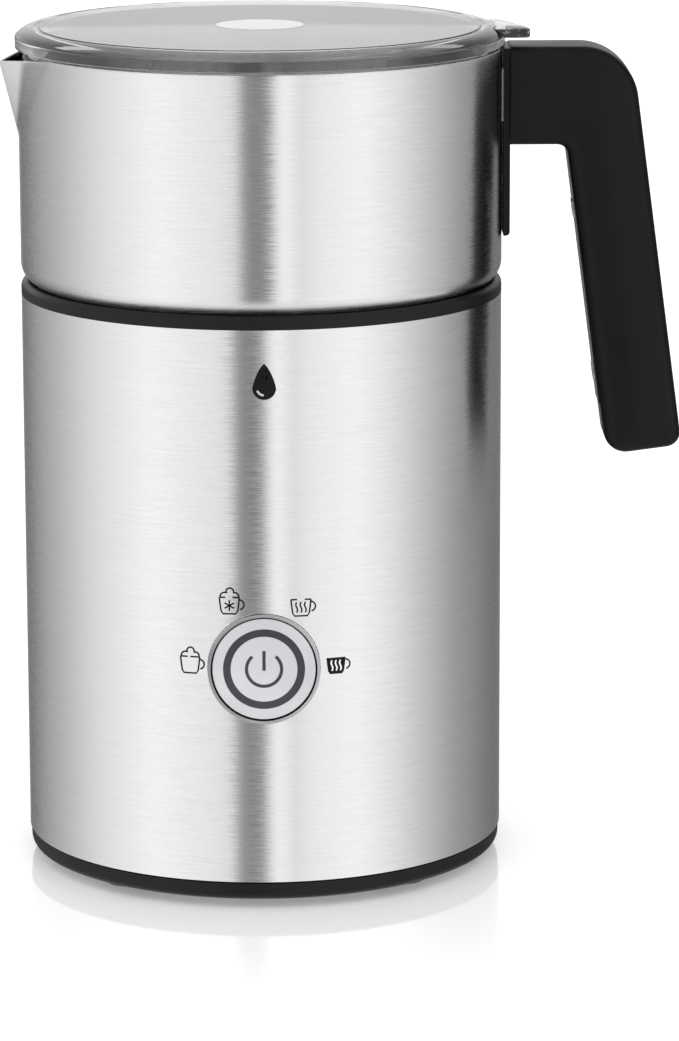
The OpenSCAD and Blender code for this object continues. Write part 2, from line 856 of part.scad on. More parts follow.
module button_bezel() {
    color([0.85, 0.86, 0.88])
    difference() {
        union() {
            facing_back(face_y - bezel_front, button_z)
                cylinder(r = bezel_r, h = bezel_back_y - face_y + bezel_front);
            facing_back(bezel_back_y - bezel_flange_t, button_z) cylinder(r = bezel_flange_r, h = bezel_flange_t);
        }
        facing_back(face_y - over - bezel_front, button_z) cylinder(r = bezel_r - bezel_wall, h = 10);
    }
}

module button_cap() {
    color([0.83, 0.84, 0.86])
    difference() {
        union() {
            facing_back(cap_front_y, button_z) cylinder(r = cap_r, h = cap_t);
            facing_back(cap_front_y + cap_t - fixed_gap, button_z)
                cylinder(r = stem_r, h = plunger_tip_y - cap_front_y - cap_t);
        }
        facing_back(cap_front_y - over, button_z)
            ring(light_d / 2 + light_w / 2 + 0.05, light_d / 2 - light_w / 2 - 0.05, 1.6 + over);
    }
}

module light_ring() {
    color([0.35, 0.35, 0.37])
    facing_back(cap_front_y, button_z)
        ring(light_d / 2 + light_w / 2, light_d / 2 - light_w / 2, 1.6 - fixed_gap);
}

module button_guide() {
    guide_r = bezel_flange_r;
    window_r = light_d / 2;
    tube_h = board_face_y - guide_y - fixed_gap;
    color([0.15, 0.15, 0.16])
    difference() {
        union() {
            facing_back(guide_y, button_z) cylinder(r = guide_r, h = guide_t);
            facing_back(guide_y + guide_t - fixed_gap, button_z) cylinder(r = stem_r + 2.2, h = 5);
            facing_back(guide_y, button_z) ring(guide_r, guide_r - 1.8, tube_h);
            facing_back(guide_y + 3.4, button_z) ring(guide_r + 3.4, guide_r - 1, 1.6);
        }
        facing_back(guide_y - over, button_z) cylinder(r = stem_r + 0.08, h = 10);
        difference() {
            facing_back(guide_y - over, button_z) ring(window_r + 1.5, window_r - 1.5, guide_t + 2 * over);
            for (a = [0, 90]) {
                facing_back(guide_y - over, button_z) rotate([0, 0, a])
                    translate([-window_r - 3, -1, 0]) cube([2 * window_r + 6, 2, guide_t + 2 * over]);
            }
        }
    }
}

module control_board() {
    board_w = 36;
    board_h = 40;
    color([0.1, 0.4, 0.2])
    translate([-board_w / 2, board_face_y, button_z - board_h / 2]) cube([board_w, board_t, board_h]);
}

module tact_switch() {
    color([0.2, 0.2, 0.22])
    difference() {
        translate([-switch_w / 2, board_face_y - switch_t - fixed_gap, button_z - switch_w / 2])
            cube([switch_w, switch_t, switch_w]);
        facing_back(board_face_y - switch_t - over, button_z)
            cylinder(r = plunger_r + turn_gap, h = over + 2.4);
    }
}

module tact_plunger() {
    color([0.9, 0.9, 0.9])
    facing_back(plunger_tip_y, button_z) cylinder(r = plunger_r, h = 2.2);
}

module status_leds() {
    led_w = 2;
    led_t = 1.2;
    led_y = board_face_y - fixed_gap - led_t / 2;
    ring_r = light_d / 2;
    color([0.9, 0.95, 1])
    for (a = [22.5:45:337.5]) {
        block(ring_r * cos(a), led_y, button_z + ring_r * sin(a) - led_w / 2, [led_w, led_t, led_w]);
    }
}

// Jug

// The outline that turns into the pressed steel jug, moved inwards by inset
module jug_revolved(inset, top_z) {
    corner = jug_corner_r - inset;
    rotate_extrude()
    polygon(concat(
        [[0, jug_z + inset]],
        arc(base_r - jug_corner_r, jug_z + jug_corner_r, corner, -90, 0, 8),
        [[base_r - inset, top_z], [0, top_z]]
    ));
}

// A wedge whose front edge leans out to the spout's tip, moved inwards by inset
module spout_wedge(inset) {
    below = spout_h - spout_drop + spout_foot;
    above = 2 * spout_drop + over;
    depth = 2 * spout_reach + 1;
    half_w = depth * tan(spout_half_angle);
    translate([-base_r - spout_reach, 0, spout_tip_z])
    rotate([0, -spout_lean, 0])
    translate([inset / sin(spout_half_angle), 0, -below])
    linear_extrude(height = below + above) polygon([[0, 0], [depth, -half_w], [depth, half_w]]);
}

// That wedge on the spout's side of the jug, above the rounded bottom edge
module spout_half(inset) {
    intersection() {
        spout_wedge(inset);
        translate([-2 * base_r, -base_r, jug_z + jug_corner_r]) cube([1.5 * base_r, 2 * base_r, jug_h]);
    }
}

// What lies under the rim, which dips towards the spout's tip
module under_rim() {
    dip_start = base_r - rim_dip;
    slope = atan(spout_drop / (spout_reach + rim_dip));
    far = 2 * base_r;
    difference() {
        translate([0, 0, jug_z]) cylinder(r = far, h = jug_h);
        translate([-dip_start, -far, rim_z]) rotate([0, -slope, 0])
            translate([-far, 0, 0]) cube([far, 2 * far, jug_h]);
    }
}

module jug_body() {
    color("silver")
    intersection() {
        difference() {
            union() {
                jug_revolved(0, rim_z + 2);
                spout_half(0);
            }
            jug_revolved(jug_wall, rim_z + 4);
            spout_half(jug_wall);
        }
        under_rim();
    }
}

module jug_base_disc() {
    color([0.6, 0.6, 0.6])
    translate([0, 0, seat_z]) cylinder(r = disc_r, h = disc_t);
}

module whisk_pin() {
    color("silver")
    translate([0, 0, jug_floor_z]) {
        cylinder(r = pin_r, h = pin_h - 1);
        translate([0, 0, pin_h - 1 - fixed_gap]) cylinder(r1 = pin_r, r2 = pin_r - 0.8, h = 1);
    }
}

// The slot that the bracket passes through, from x on
module bracket_slot(x, depth, height) {
    z = bracket_level - height / 2 - bracket_gap;
    block(x + depth / 2, 0, z, [depth, bracket_w + 2 * bracket_gap, height + 2 * bracket_gap]);
}

module handle_bracket() {
    half_t = bracket_strip_t / 2;
    half_h = flange_h / 2;
    bend_x = grip_inner(bracket_level) + grip_t / 2 + 1;
    foot_z = cover_screw_z[0] + head_r + 3;
    foot_x = grip_inner(foot_z) + grip_t / 2;
    inner_x = body_x - bracket_gap;
    color("silver")
    difference() {
        side_extrude(bracket_w) polygon([
            [base_r - 1, bracket_level - half_h], [inner_x, bracket_level - half_h],
            [inner_x, bracket_level - half_t], [bend_x - bracket_strip_t, bracket_level - half_t],
            [foot_x - bracket_strip_t, foot_z], [foot_x, foot_z], [bend_x, bracket_level + half_t],
            [inner_x, bracket_level + half_t], [inner_x, bracket_level + half_h],
            [base_r - 1, bracket_level + half_h],
        ]);
        cylinder(r = base_r + 0.02, h = rim_z);
    }
}

module handle_rail() {
    rail_top = handle_top_z - 0.4;
    rail_bottom = arm_z - rail_below_arm;
    round_r = rail_t - rail_edge;
    color([0.07, 0.07, 0.08])
    difference() {
        side_extrude(handle_w - 3) polygon(concat(
            [[rail_x0, rail_top], [rail_x0, rail_bottom]],
            arc(rail_x0 + rail_edge, rail_bottom + round_r, round_r, -90, 0, 5),
            [[rail_x0 + rail_t, rail_top]]
        ));
        bracket_slot(rail_x0 - over, rail_t + 2 * over, flange_h);
    }
}

module handle_shell() {
    cavity_w = handle_w - 2 * handle_wall;
    boss_z0 = handle_wall + fixed_gap;
    color([0.07, 0.07, 0.08])
    difference() {
        union() {
            difference() {
                side_extrude(handle_w) polygon(handle_outline());
                side_extrude(cavity_w) polygon(handle_outline(handle_wall));
                side_extrude(cavity_w) polygon(cover_outline(-over, handle_wall + over));
            }
            for (z = cover_screw_z) {
                into_grip(z) translate([0, 0, boss_z0]) cylinder(r = head_r + 0.4, h = grip_t - boss_z0 - 1);
            }
        }
        bracket_slot(body_x - over, handle_wall + 2 * over, bracket_strip_t);
        for (z = cover_screw_z) {
            into_grip(z) cylinder(r = pilot_r, h = grip_t - handle_wall);
        }
    }
}

module handle_cover() {
    cover_w = handle_w - 2 * handle_wall - 2 * fixed_gap;
    color([0.09, 0.09, 0.1])
    difference() {
        side_extrude(cover_w) polygon(cover_outline(0, handle_wall, fixed_gap));
        for (z = cover_screw_z) {
            into_grip(z) {
                translate([0, 0, -over]) cylinder(r = pass_hole_r, h = handle_wall + 2 * over);
                translate([0, 0, -over]) cylinder(r = head_r, h = over + cover_sink);
            }
        }
    }
}

module handle_screws() {
    color("silver")
    for (z = cover_screw_z) {
        into_grip(z) translate([0, 0, cover_sink - head_h - fixed_gap]) screw_up(0, 12);
    }
}

// Lid

module lid_profile() {
    edge_steps = 8;
    polygon(concat(
        [[0, lid_top_z]],
        [for (i = [0:edge_steps]) let (a = 90 * i / edge_steps)
            [lid_flat_r + (lid_r - lid_flat_r) * sin(a), lid_edge_z + (lid_top_z - lid_edge_z) * cos(a)]],
        [[lid_r, lid_rest_z], [skirt_r, lid_rest_z], [skirt_r, skirt_z], [skirt_ri, skirt_z]],
        [[skirt_ri, lid_top_z - lid_t], [0, lid_top_z - lid_t]]
    ));
}

// The thumb tab: straight at the front, then round its front corner and along a wide curve to the back
module tab_outline() {
    corner_x = base_r + tab_reach - tab_corner_r;
    corner_y = tab_front_y + tab_corner_r;
    curve_x = corner_x - (tab_curve_r - tab_corner_r) * cos(tab_turn);
    curve_y = corner_y - (tab_curve_r - tab_corner_r) * sin(tab_turn);
    curve_end = asin((tab_back_y - curve_y) / tab_curve_r);
    polygon(concat(
        [[base_r - tab_root, tab_back_y], [base_r - tab_root, tab_front_y]],
        arc(corner_x, corner_y, tab_corner_r, -90, tab_turn, 5),
        arc(curve_x, curve_y, tab_curve_r, tab_turn + 3, curve_end, 6)
    ));
}

module lid() {
    color([0.75, 0.77, 0.78, 0.5])
    difference() {
        union() {
            rotate_extrude() lid_profile();
            translate([0, 0, tab_top_z - tab_t]) linear_extrude(height = tab_t) tab_outline();
        }
        translate([0, 0, lid_top_z - inlay_depth]) cylinder(r = inlay_r + fixed_gap, h = inlay_depth + over);
    }
}

module lid_seal() {
    lip_r = jug_ri - slip_gap;
    root_r = skirt_r + fixed_gap;
    web_r = root_r + 0.4;
    seal_z = skirt_z + 1.2;
    lip_pitch = 3.1;
    lip_h = 1.9;
    lip = [[web_r, 0], [lip_r, 1.1], [web_r, lip_h]];
    color([0.15, 0.15, 0.16])
    rotate_extrude()
    polygon(concat(
        [[root_r, seal_z]],
        [for (z = [seal_z, seal_z + lip_pitch], p = lip) [p[0], z + p[1]]],
        [[root_r, seal_z + lip_pitch + lip_h]]
    ));
}

module lid_inlay() {
    color([0.95, 0.95, 0.96])
    translate([0, 0, lid_top_z - inlay_depth + fixed_gap]) cylinder(r = inlay_r, h = inlay_depth - fixed_gap);
}

// Whisk

module whisk_sleeve() {
    color([0.9, 0.9, 0.88])
    difference() {
        union() {
            translate([0, 0, jug_floor_z + 0.4]) cylinder(r = whisk_sleeve_r, h = pin_h + 1.4);
            translate([0, 0, jug_floor_z + 0.4]) cylinder(r = whisk_sleeve_r + 1.5, h = 0.6);
        }
        translate([0, 0, jug_floor_z - over]) cylinder(r = sleeve_bore_r, h = pin_h + over + fixed_gap);
    }
}

module whisk_hub() {
    color([0.15, 0.15, 0.16])
    difference() {
        union() {
            translate([0, 0, hub_z]) cylinder(r = hub_r, h = hub_h - hub_bevel_h);
            translate([0, 0, hub_z + hub_h - hub_bevel_h - fixed_gap])
                cylinder(r1 = hub_r, r2 = hub_r - 4, h = hub_bevel_h);
            translate([0, 0, hub_z + hub_h - over]) cylinder(r = collar_r, h = collar_h - hub_h + over);
        }
        translate([0, 0, hub_z - over]) cylinder(r = whisk_sleeve_r + turn_gap, h = collar_h + 2 * over);
        around(magnet_ring_r, [0, 90, 180, 270]) {
            translate([0, 0, hub_z - over]) cylinder(r = magnet_r + fixed_gap, h = over + hub_magnet_t + 0.1);
        }
        translate([0, 0, whisk_coil_z]) rotate_extrude() translate([whisk_coil_r, 0]) circle(r = coil_r + 0.1);
    }
}

module whisk_magnets() {
    color("silver")
    around(magnet_ring_r, [0, 90, 180, 270]) {
        translate([0, 0, hub_z]) cylinder(r = magnet_r, h = hub_magnet_t);
    }
}

module whisk_coil() {
    color("silver")
    translate([0, 0, whisk_coil_z]) rotate_extrude() translate([whisk_coil_r, 0]) circle(r = coil_r);
}

base_sleeve();
top_deck();
chassis();
bottom_pan();
foot(1);  // foot_1
foot(2);  // foot_2
foot(3);  // foot_3
foot(4);  // foot_4
base_screws();
deck_screws();
cord_gland();
coil_carrier();
induction_coil();
ferrite_bars();
temperature_sensor();
motor_bracket();
bracket_screws();
motor_can();
motor_endcap();
motor_magnets();
front_bush();
rear_bush();
motor_shaft();
armature();
drive_rotor();
drive_magnets();
power_board();
board_screws();
bulk_capacitor();
filter_capacitor();
choke();
heatsink();
power_transistor();
terminal_block();
fan_frame();
fan_rotor();
button_bezel();
button_cap();
light_ring();
button_guide();
control_board();
tact_switch();
tact_plunger();
status_leds();
jug_body();
jug_base_disc();
whisk_pin();
handle_bracket();
handle_rail();
handle_shell();
handle_cover();
handle_screws();
lid();
lid_seal();
lid_inlay();
whisk_sleeve();
whisk_hub();
whisk_magnets();
whisk_coil();
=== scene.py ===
"""Looks of the milk frother: brushed steel, satin black mouldings and a clear lid on a white studio floor."""
import json
import math

import bmesh
import bpy
from mathutils import Matrix, Vector


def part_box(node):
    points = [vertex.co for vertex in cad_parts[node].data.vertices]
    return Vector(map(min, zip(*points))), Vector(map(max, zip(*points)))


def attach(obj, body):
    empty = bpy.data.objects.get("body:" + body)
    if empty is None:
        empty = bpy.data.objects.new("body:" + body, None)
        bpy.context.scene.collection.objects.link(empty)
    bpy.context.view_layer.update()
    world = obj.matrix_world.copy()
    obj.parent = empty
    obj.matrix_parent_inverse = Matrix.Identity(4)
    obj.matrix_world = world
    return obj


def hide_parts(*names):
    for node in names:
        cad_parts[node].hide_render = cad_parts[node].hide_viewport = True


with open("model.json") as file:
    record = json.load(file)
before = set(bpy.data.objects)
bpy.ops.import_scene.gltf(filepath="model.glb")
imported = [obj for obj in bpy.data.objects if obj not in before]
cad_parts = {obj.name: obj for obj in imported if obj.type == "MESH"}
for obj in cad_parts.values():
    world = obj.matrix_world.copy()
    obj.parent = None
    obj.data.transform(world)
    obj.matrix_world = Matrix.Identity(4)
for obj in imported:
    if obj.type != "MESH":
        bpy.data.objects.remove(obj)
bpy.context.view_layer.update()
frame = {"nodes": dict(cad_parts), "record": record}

MM = 0.001
STEPS = 192                                  # how finely a full turn is divided

# Sizes that the looks share, taken from the frame
SLEEVE_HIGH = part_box("base_sleeve")[1]
BASE_R = SLEEVE_HIGH.y
JUG_LOW, JUG_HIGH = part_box("jug_body")
RIM_Z = JUG_HIGH.z
CAP_LOW, CAP_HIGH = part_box("button_cap")
BUTTON_Z = (CAP_LOW.z + CAP_HIGH.z) / 2
LID_LOW, LID_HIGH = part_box("lid")
HANDLE_LOW, HANDLE_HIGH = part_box("handle_shell")


# ---------------------------------------------------------------- camera, light and floor

def make_camera():
    """A long lens from the front, a little above the object, as a product picture has."""
    data = bpy.data.cameras.new("camera")
    data.lens = 165.33
    data.sensor_width = 36
    data.clip_end = 50
    camera = bpy.data.objects.new("camera", data)
    bpy.context.scene.collection.objects.link(camera)
    camera.location = (0, -1.27998, 0.37327)
    aim = Vector((0.02143, 0.02953, 0.08459))
    turn = (aim - camera.location).to_track_quat("-Z", "Y").to_matrix().to_4x4()
    roll = Matrix.Rotation(math.radians(-0.17), 4, "Z")
    camera.rotation_mode = "QUATERNION"
    camera.rotation_quaternion = (turn @ roll).to_quaternion()
    bpy.context.scene.camera = camera


class Nodes:
    """A node tree with short calls that add nodes and link them."""

    def __init__(self, tree):
        self.tree = tree
        tree.nodes.clear()

    def add(self, kind, inputs=(), **settings):
        """A new node; inputs maps a socket's name or number to a value or to another node's socket."""
        node = self.tree.nodes.new(kind)
        for name, value in settings.items():
            setattr(node, name, value)
        for key, value in dict(inputs).items():
            if isinstance(value, bpy.types.NodeSocket):
                self.tree.links.new(value, node.inputs[key])
            else:
                node.inputs[key].default_value = value
        return node

    def math(self, operation, a, b=0.0, c=0.0):
        return self.add("ShaderNodeMath", {0: a, 1: b, 2: c}, operation=operation).outputs[0]

    def ramp(self, value, stops, smooth=False):
        """A colour ramp; stops are (place, brightness or colour)."""
        node = self.add("ShaderNodeValToRGB", {0: value})
        ramp = node.color_ramp
        ramp.interpolation = "EASE" if smooth else "LINEAR"
        while len(ramp.elements) < len(stops):
            ramp.elements.new(0.5)
        for element, (place, colour) in zip(ramp.elements, stops):
            element.position = place
            shade = (colour, colour, colour) if isinstance(colour, float) else colour
            element.color = (*shade, 1)
        return node.outputs[0]


# What stands round the object in the studio: bearing in degrees from the camera, + to the right,
# and brightness
LIGHTS_LOW = [
    (-180, 1.1), (-166, 0.15), (-150, 0.22), (-137, 0.38), (-112, 0.68), (-88, 1.05), (-55, 1.4),
    (-30, 1.2), (-16, 1.1), (-12, 0.22), (-1, 0.2), (4, 1.4), (9, 1.35), (14, 1.0), (22, 1.25), (45, 1.38),
    (60, 1.2), (82, 0.77), (104, 0.46), (135, 0.24), (150, 0.18), (168, 0.2), (180, 1.1),
]
LIGHTS_HIGH = [
    (-180, 1.0), (-150, 0.9), (-112, 0.8), (-55, 1.25), (-16, 1.1), (-12, 0.22), (-1, 0.2), (4, 1.4),
    (9, 1.35), (14, 1.0), (45, 1.3), (82, 0.85), (104, 0.6), (150, 0.6), (180, 1.0),
]


def make_studio():
    """A white dome whose brightness changes with the bearing, so that the steel shows upright bands."""
    world = bpy.data.worlds.new("studio")
    world.use_nodes = True
    bpy.context.scene.world = world
    n = Nodes(world.node_tree)
    direction = n.add("ShaderNodeSeparateXYZ", {0: n.add("ShaderNodeTexCoord").outputs["Generated"]}).outputs
    bearing = n.math("ARCTAN2", direction["X"], n.math("MULTIPLY", direction["Y"], -1.0))
    place = n.math("MULTIPLY_ADD", bearing, 0.5 / math.pi, 0.5)
    low = n.ramp(place, [((b + 180) / 360, float(v) / 2) for b, v in LIGHTS_LOW])
    high = n.ramp(place, [((b + 180) / 360, float(v) / 2) for b, v in LIGHTS_HIGH])
    height = n.math("MULTIPLY_ADD", direction["Z"], 0.5, 0.5)
    raised = n.ramp(height, [(0.47, 0.0), (0.56, 1.0)], smooth=True)
    around = n.add("ShaderNodeMix", {0: raised, 6: low, 7: high}, data_type="RGBA").outputs[2]
    ends = n.ramp(height, [(0.13, 1.0), (0.24, 0.0), (0.78, 0.0), (0.95, 1.0)], smooth=True)
    dome = n.add("ShaderNodeMix", {0: ends, 6: around, 7: (0.55, 0.55, 0.55, 1)}, data_type="RGBA").outputs[2]
    seen = n.add("ShaderNodeLightPath").outputs["Is Camera Ray"]
    colour = n.add("ShaderNodeMix", {0: seen, 6: dome, 7: (0.5, 0.5, 0.5, 1)}, data_type="RGBA").outputs[2]
    light = n.add("ShaderNodeBackground", {"Color": colour, "Strength": 2.0}).outputs[0]
    n.add("ShaderNodeOutputWorld", {0: light})
    bpy.context.scene.view_settings.view_transform = "Standard"


def make_floor():
    """A glossy white floor whose reflection fades away from the object."""
    size = 6.0
    fade_from, fade_to = BASE_R, BASE_R + 0.15
    mesh = bpy.data.meshes.new("floor")
    corners = [(-size, -size, 0), (size, -size, 0), (size, size, 0), (-size, size, 0)]
    mesh.from_pydata(corners, [], [(0, 1, 2, 3)])
    floor = bpy.data.objects.new("floor", mesh)
    bpy.context.scene.collection.objects.link(floor)
    material = bpy.data.materials.new("floor_white")
    material.use_nodes = True
    n = Nodes(material.node_tree)
    place = n.add("ShaderNodeTexCoord").outputs["Object"]
    distance = n.add("ShaderNodeVectorMath", {0: place}, operation="LENGTH").outputs["Value"]
    span = n.add("ShaderNodeMapRange", {0: distance, 1: fade_from, 2: fade_to, 3: 0.3, 4: 0.0})
    span.interpolation_type = "SMOOTHSTEP"
    matt = n.add("ShaderNodeBsdfDiffuse", {"Color": (0.9, 0.9, 0.9, 1)})
    glow = n.add("ShaderNodeEmission", {"Color": (1, 1, 1, 1), "Strength": 0.35})
    lit = n.add("ShaderNodeAddShader", {0: matt.outputs[0], 1: glow.outputs[0]})
    gloss = n.add("ShaderNodeBsdfGlossy", {"Color": (1, 1, 1, 1), "Roughness": 0.07})
    mix = n.add("ShaderNodeMixShader", {0: span.outputs[0], 1: lit.outputs[0], 2: gloss.outputs[0]})
    n.add("ShaderNodeOutputMaterial", {0: mix.outputs[0]})
    mesh.materials.append(material)
    floor.visible_glossy = False


# ---------------------------------------------------------------- materials

def new_material(name):
    material = bpy.data.materials.new(name)
    material.use_nodes = True
    return material, Nodes(material.node_tree)


def streaks(n, along, across, shift=0.0, detail=3.0, axis="Z"):
    """Noise drawn out into fine lines that lie square to an axis."""
    place = n.add("ShaderNodeTexCoord").outputs["Object"]
    scale = {"X": (across, along, along), "Y": (along, across, along), "Z": (along, along, across)}[axis]
    mapped = n.add("ShaderNodeMapping", {
        "Vector": place, "Scale": scale, "Location": (shift, 0, 0)}).outputs[0]
    return n.add("ShaderNodeTexNoise", {"Vector": mapped, "Scale": 1.0, "Detail": detail}).outputs["Fac"]


def brushed_steel(name, shift, turn=0.0, tone=0.70):
    """Stainless steel sheet, brushed round the body, so that its gloss spreads up and down.

    turn moves what it mirrors round the body, as a sheet that isn't quite round does. Metal that stands
    out past the round body, which is the spout, has its shading turned by spout_turn towards the light.
    """
    spout_from, spout_full, spout_turn = BASE_R + 0.1 * MM, BASE_R + 0.7 * MM, 0.45
    material, n = new_material(name)
    long_lines = streaks(n, 45, 3200, shift)
    short_lines = streaks(n, 170, 4200, shift + 3, detail=2.0)
    colour = n.ramp(long_lines, [(0.3, (tone * 0.97, tone * 0.975, tone * 0.98)),
                                 (0.7, (tone * 1.03, tone * 1.03, tone * 1.025))])
    roughness = n.add("ShaderNodeMapRange", {0: short_lines, 1: 0.3, 2: 0.7, 3: 0.24, 4: 0.33}).outputs[0]
    tangent = n.add("ShaderNodeTangent", direction_type="RADIAL", axis="Z").outputs[0]
    lean = n.math("MULTIPLY_ADD", n.math("SUBTRACT", short_lines, 0.5), 0.07, turn)
    place = n.add("ShaderNodeSeparateXYZ", {0: n.add("ShaderNodeTexCoord").outputs["Object"]}).outputs
    across = n.add("ShaderNodeCombineXYZ", {0: place["X"], 1: place["Y"]}).outputs[0]
    reach = n.add("ShaderNodeVectorMath", {0: across}, operation="LENGTH").outputs["Value"]
    pressed = n.add("ShaderNodeMapRange", {
        0: reach, 1: spout_from, 2: spout_full, 3: 0.0, 4: spout_turn}).outputs[0]
    side = n.math("SIGN", n.math("MULTIPLY", place["Y"], -1.0))
    lean = n.math("MULTIPLY_ADD", pressed, side, lean)
    sideways = n.add("ShaderNodeVectorMath", {0: tangent, 3: lean}, operation="SCALE").outputs[0]
    normal = n.add("ShaderNodeNewGeometry").outputs["Normal"]
    tilted = n.add("ShaderNodeVectorMath", {0: normal, 1: sideways}, operation="ADD").outputs[0]
    tilted = n.add("ShaderNodeVectorMath", {0: tilted}, operation="NORMALIZE").outputs[0]
    shader = n.add("ShaderNodeBsdfPrincipled", {
        "Base Color": colour, "Metallic": 1.0, "Roughness": roughness, "Anisotropic": 0.95,
        "Anisotropic Rotation": 0.25, "Tangent": tangent, "Normal": tilted})
    n.add("ShaderNodeOutputMaterial", {0: shader.outputs[0]})
    return material


def moulded(name, colour, accent, roughness, grain, bump, metallic, specular):
    """A material with a mottled colour, a worn gloss and a fine relief. grain is in millimetres."""
    material, n = new_material(name)
    place = n.add("ShaderNodeTexCoord").outputs["Object"]
    fine = n.add("ShaderNodeTexNoise", {"Vector": place, "Scale": 1000 / grain, "Detail": 4.0}).outputs["Fac"]
    broad = n.add("ShaderNodeTexNoise", {"Vector": place, "Scale": 60.0, "Detail": 3.0}).outputs["Fac"]
    mixed = n.math("ADD", n.math("MULTIPLY", fine, 0.5), n.math("MULTIPLY", broad, 0.5))
    tint = n.ramp(mixed, [(0.35, colour), (0.65, accent)])
    low, high = roughness
    gloss = n.add("ShaderNodeMapRange", {0: broad, 1: 0.3, 2: 0.7, 3: low, 4: high}).outputs[0]
    relief = n.add("ShaderNodeBump", {
        "Strength": bump, "Distance": grain * MM * 0.3, "Height": fine}).outputs[0]
    shader = n.add("ShaderNodeBsdfPrincipled", {
        "Base Color": tint, "Roughness": gloss, "Normal": relief, "Metallic": metallic,
        "Specular IOR Level": specular})
    n.add("ShaderNodeOutputMaterial", {0: shader.outputs[0]})
    return material


def handle_black(name):
    """Black plastic with a fine grain relief and a mottled tone. Its colour is painted lighter on the broad
    sides that face along Y and painted darker on its edges, as painted light and shade.
    """
    material, n = new_material(name)
    place = n.add("ShaderNodeTexCoord").outputs["Object"]
    fine = n.add("ShaderNodeTexNoise", {"Vector": place, "Scale": 2500.0, "Detail": 4.0}).outputs["Fac"]
    broad = n.add("ShaderNodeTexNoise", {"Vector": place, "Scale": 70.0, "Detail": 3.0}).outputs["Fac"]
    # painted light and shade: surfaces that face along Y (the broad sides) get a lighter colour, and the
    # edges and top a darker one
    normal = n.add("ShaderNodeNewGeometry").outputs["Normal"]
    facing = n.add("ShaderNodeSeparateXYZ", {0: normal}).outputs["Y"]
    flat = n.ramp(n.math("ABSOLUTE", facing), [(0.55, 0.0), (0.99, 1.0)], smooth=True)
    # a random mottle added to the painted light of the Y-facing sides
    mottle_and_painted_light = n.math("MULTIPLY_ADD", n.math("SUBTRACT", broad, 0.5), 0.6, flat)
    tint = n.ramp(mottle_and_painted_light, [
        (0.0, (0.0015, 0.0015, 0.0017)), (0.6, (0.004, 0.004, 0.0043)), (1.0, (0.009, 0.009, 0.0095))])
    gloss = n.add("ShaderNodeMapRange", {0: broad, 1: 0.3, 2: 0.7, 3: 0.3, 4: 0.38}).outputs[0]
    relief = n.add("ShaderNodeBump", {"Strength": 0.12, "Distance": 0.12 * MM, "Height": fine}).outputs[0]
    shader = n.add("ShaderNodeBsdfPrincipled", {
        "Base Color": tint, "Roughness": gloss, "Normal": relief, "Specular IOR Level": 0.1})
    n.add("ShaderNodeOutputMaterial", {0: shader.outputs[0]})
    return material


def clear_plastic(name):
    """Clear glossy plastic with faint wipe marks."""
    material, n = new_material(name)
    place = n.add("ShaderNodeTexCoord").outputs["Object"]
    marks = n.add("ShaderNodeTexNoise", {"Vector": place, "Scale": 90.0, "Detail": 5.0}).outputs["Fac"]
    gloss = n.add("ShaderNodeMapRange", {0: marks, 1: 0.4, 2: 0.75, 3: 0.02, 4: 0.07}).outputs[0]
    tint = n.ramp(marks, [(0.3, (0.66, 0.67, 0.675)), (0.7, (0.71, 0.72, 0.725))])
    shader = n.add("ShaderNodeBsdfPrincipled", {
        "Base Color": tint, "Roughness": gloss, "Transmission Weight": 1.0, "IOR": 1.49})
    n.add("ShaderNodeOutputMaterial", {0: shader.outputs[0]})
    return material


